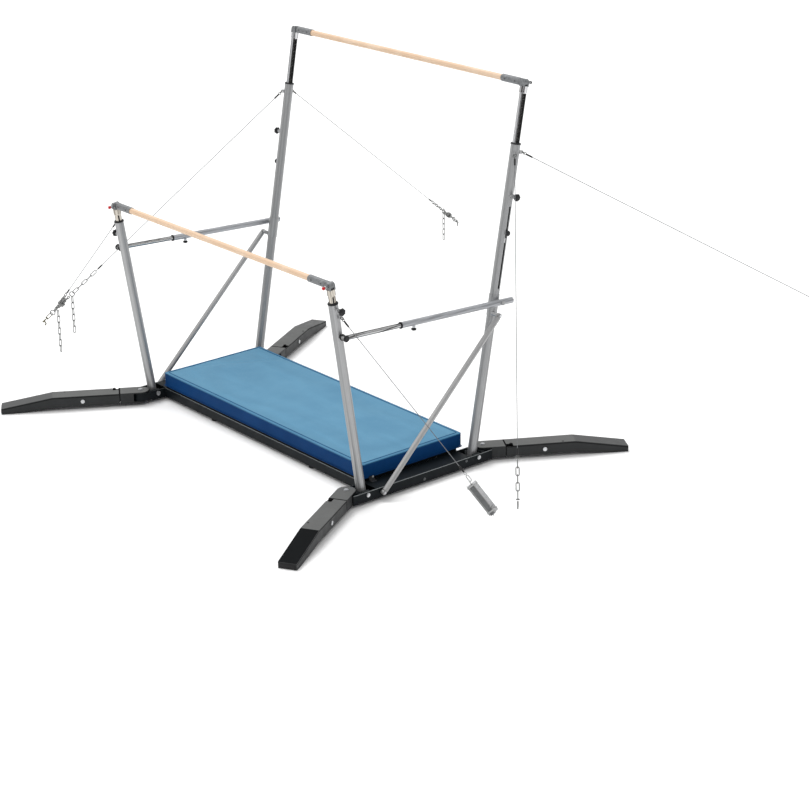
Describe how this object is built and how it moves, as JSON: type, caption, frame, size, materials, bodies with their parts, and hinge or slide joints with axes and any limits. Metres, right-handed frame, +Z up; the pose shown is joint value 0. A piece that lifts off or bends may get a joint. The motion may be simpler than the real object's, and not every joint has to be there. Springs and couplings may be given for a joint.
{
  "type": "uneven parallel bars",
  "caption": "Gymnastics uneven bars: two wooden rails on telescopic leaning posts over a matted base with fold-in feet, spreaders, braces and guy cables.",
  "frame": {"origin": "middle of the base on the floor", "axes": "+Z up, X along the rails, +Y towards the high rail"},
  "size_m": [4.9719, 5.1146, 2.5054],
  "materials": {
    "frame_black": "fine-textured black powder coat",
    "foot_grey": "dark grey powder coat",
    "satin_aluminium": "satin extruded tube with fine lengthwise lines",
    "chrome": "polished",
    "cast_grey": "grey painted casting",
    "zinc": "zinc plated",
    "black_plastic": "moulded, fine grain",
    "red_plastic": "moulded",
    "black_rubber": "matt",
    "rail_wood": "sanded wood laminate",
    "core_steel": "plain rod",
    "board": "dark film-faced plywood",
    "mat_fabric": "light blue coated fabric top, navy sides",
    "cable_steel": "twisted strand"
  },
  "bodies": {
    "base": {"end_beams": "frame_black", "side_beams": "frame_black", "cross_beams": "frame_black", "deck_board": "board", "mat": "mat_fabric", "base_bolts": "zinc", "base_pads": "black_rubber", "high_posts": "satin_aluminium", "high_collars": "black_plastic", "braces": "satin_aluminium", "high_brackets": "cast_grey", "high_shackles": "zinc", "high_left_front_cable": "cable_steel", "high_left_rear_cable": "cable_steel", "high_right_rear_cable": "cable_steel", "high_right_front_cable": "cable_steel", "left_tensioner": "zinc", "rear_and_front_chains": "zinc", "right_tensioner": "zinc"},
    "low_frame": {"low_posts": "satin_aluminium", "low_collars": "black_plastic", "low_spreader_pins": "black_plastic", "low_shackles": "zinc", "low_left_cable": "cable_steel", "low_right_cable": "cable_steel"},
    "high_bar": {"high_rail": "rail_wood", "high_rail_core": "core_steel", "high_rail_sleeves": "cast_grey", "high_post_heads": "cast_grey", "high_inner_tubes": "chrome"},
    "low_bar": {"low_rail": "rail_wood", "low_rail_core": "core_steel", "low_rail_sleeves": "cast_grey", "low_post_heads": "cast_grey", "low_inner_tubes": "chrome"},
    "spreader_outer": {"spreader_tubes": "satin_aluminium", "spreader_bushes": "black_plastic"},
    "spreader_inner": {"spreader_rods": "chrome"},
    "high_right_clamp_knob": {"high_right_clamp_knob": "black_plastic"},
    "low_right_clamp_knob": {"low_right_clamp_knob": "black_plastic"},
    "right_slot_knob": {"right_slot_knob": "black_plastic"},
    "right_spreader_knob": {"right_spreader_knob": "black_plastic"},
    "high_left_clamp_knob": {"high_left_clamp_knob": "black_plastic"},
    "low_left_clamp_knob": {"low_left_clamp_knob": "black_plastic"},
    "left_slot_knob": {"left_slot_knob": "black_plastic"},
    "left_spreader_knob": {"left_spreader_knob": "black_plastic"},
    "high_right_pull_pin": {"high_right_pull_pin": "red_plastic"},
    "low_right_pull_pin": {"low_right_pull_pin": "red_plastic"},
    "high_left_pull_pin": {"high_left_pull_pin": "red_plastic"},
    "low_left_pull_pin": {"low_left_pull_pin": "red_plastic"},
    "front_right_foot": {"front_right_foot_arm": "frame_black", "front_right_foot_shell": "foot_grey"},
    "front_left_foot": {"front_left_foot_arm": "frame_black", "front_left_foot_shell": "foot_grey"},
    "rear_right_foot": {"rear_right_foot_arm": "frame_black", "rear_right_foot_shell": "foot_grey"},
    "rear_left_foot": {"rear_left_foot_arm": "frame_black", "rear_left_foot_shell": "foot_grey"}
  },
  "joints": [
    {"name": "low_frame_hinge", "type": "hinge", "parent": "base", "child": "low_frame", "pos_m": [0, -0.467, 0.063], "axis": [1, 0, 0], "range_deg": [-6, 6], "deforming": ["low_left_cable", "low_right_cable"]},
    {"name": "high_bar_slide", "type": "slide", "parent": "base", "child": "high_bar", "axis": [0, 0.1791, 0.9838], "range_m": [-0.3, 0.16]},
    {"name": "low_bar_slide", "type": "slide", "parent": "low_frame", "child": "low_bar", "axis": [0, -0.1437, 0.9896], "range_m": [-0.035, 0.4]},
    {"name": "spreader_swing", "type": "hinge", "parent": "base", "child": "spreader_outer", "pos_m": [0, 0.65452, 1.09307], "axis": [1, 0, 0], "range_deg": [-1.1, 1.1]},
    {"name": "spreader_slide", "type": "slide", "parent": "spreader_outer", "child": "spreader_inner", "axis": [0, -0.9991, 0.0419], "range_m": [-0.125, 0.125]},
    {"name": "high_right_clamp_knob_turn", "type": "hinge", "parent": "base", "child": "high_right_clamp_knob", "pos_m": [1.2, 0.77774, 1.76995], "axis": [1, 0, 0], "range_deg": [0, 360]},
    {"name": "low_right_clamp_knob_turn", "type": "hinge", "parent": "low_frame", "child": "low_right_clamp_knob", "pos_m": [1.2, -0.64976, 1.3218], "axis": [1, 0, 0], "range_deg": [0, 360]},
    {"name": "right_slot_knob_turn", "type": "hinge", "parent": "high_bar", "child": "right_slot_knob", "pos_m": [1.2, 0.73476, 1.53383], "axis": [1, 0, 0], "range_deg": [0, 360]},
    {"name": "right_spreader_knob_turn", "type": "hinge", "parent": "spreader_outer", "child": "right_spreader_knob", "pos_m": [1.268, -0.07484, 1.12362], "axis": [0, -0.0419, -0.9991], "range_deg": [0, 360]},
    {"name": "high_left_clamp_knob_turn", "type": "hinge", "parent": "base", "child": "high_left_clamp_knob", "pos_m": [-1.2, 0.77362, 1.74732], "axis": [-1, 0, 0], "range_deg": [0, 360]},
    {"name": "low_left_clamp_knob_turn", "type": "hinge", "parent": "low_frame", "child": "low_left_clamp_knob", "pos_m": [-1.2, -0.63984, 1.25352], "axis": [-1, 0, 0], "range_deg": [0, 360]},
    {"name": "left_slot_knob_turn", "type": "hinge", "parent": "high_bar", "child": "left_slot_knob", "pos_m": [-1.2, 0.73476, 1.53383], "axis": [-1, 0, 0], "range_deg": [0, 360]},
    {"name": "left_spreader_knob_turn", "type": "hinge", "parent": "spreader_outer", "child": "left_spreader_knob", "pos_m": [-1.268, -0.07484, 1.12362], "axis": [0, -0.0419, -0.9991], "range_deg": [0, 360]},
    {"name": "high_right_pull_pin_pull", "type": "slide", "parent": "high_bar", "child": "high_right_pull_pin", "axis": [0, 0.9838, -0.1791], "range_m": [0, 0.014], "stiffness_N_per_m": 300, "springref_m": -0.01},
    {"name": "low_right_pull_pin_pull", "type": "slide", "parent": "low_bar", "child": "low_right_pull_pin", "axis": [0, -0.9896, -0.1437], "range_m": [0, 0.014], "stiffness_N_per_m": 300, "springref_m": -0.01},
    {"name": "high_left_pull_pin_pull", "type": "slide", "parent": "high_bar", "child": "high_left_pull_pin", "axis": [0, 0.9838, -0.1791], "range_m": [0, 0.014], "stiffness_N_per_m": 300, "springref_m": -0.01},
    {"name": "low_left_pull_pin_pull", "type": "slide", "parent": "low_bar", "child": "low_left_pull_pin", "axis": [0, -0.9896, -0.1437], "range_m": [0, 0.014], "stiffness_N_per_m": 300, "springref_m": -0.01},
    {"name": "front_right_foot_swing", "type": "hinge", "parent": "base", "child": "front_right_foot", "pos_m": [1.186, -0.576, 0.06], "axis": [0, 0, -1], "range_deg": [0, 110]},
    {"name": "front_left_foot_swing", "type": "hinge", "parent": "base", "child": "front_left_foot", "pos_m": [-1.186, -0.576, 0.06], "axis": [0, 0, 1], "range_deg": [0, 110]},
    {"name": "rear_right_foot_swing", "type": "hinge", "parent": "base", "child": "rear_right_foot", "pos_m": [1.186, 0.576, 0.06], "axis": [0, 0, 1], "range_deg": [0, 110]},
    {"name": "rear_left_foot_swing", "type": "hinge", "parent": "base", "child": "rear_left_foot", "pos_m": [-1.186, 0.576, 0.06], "axis": [0, 0, -1], "range_deg": [0, 110]}
  ],
  "couplings": [
    {"joint": "spreader_swing", "follows": "low_frame_hinge", "ratio": 0.1554},
    {"joint": "spreader_slide", "follows": "low_frame_hinge", "m_per_rad": 1.0749}
  ]
}
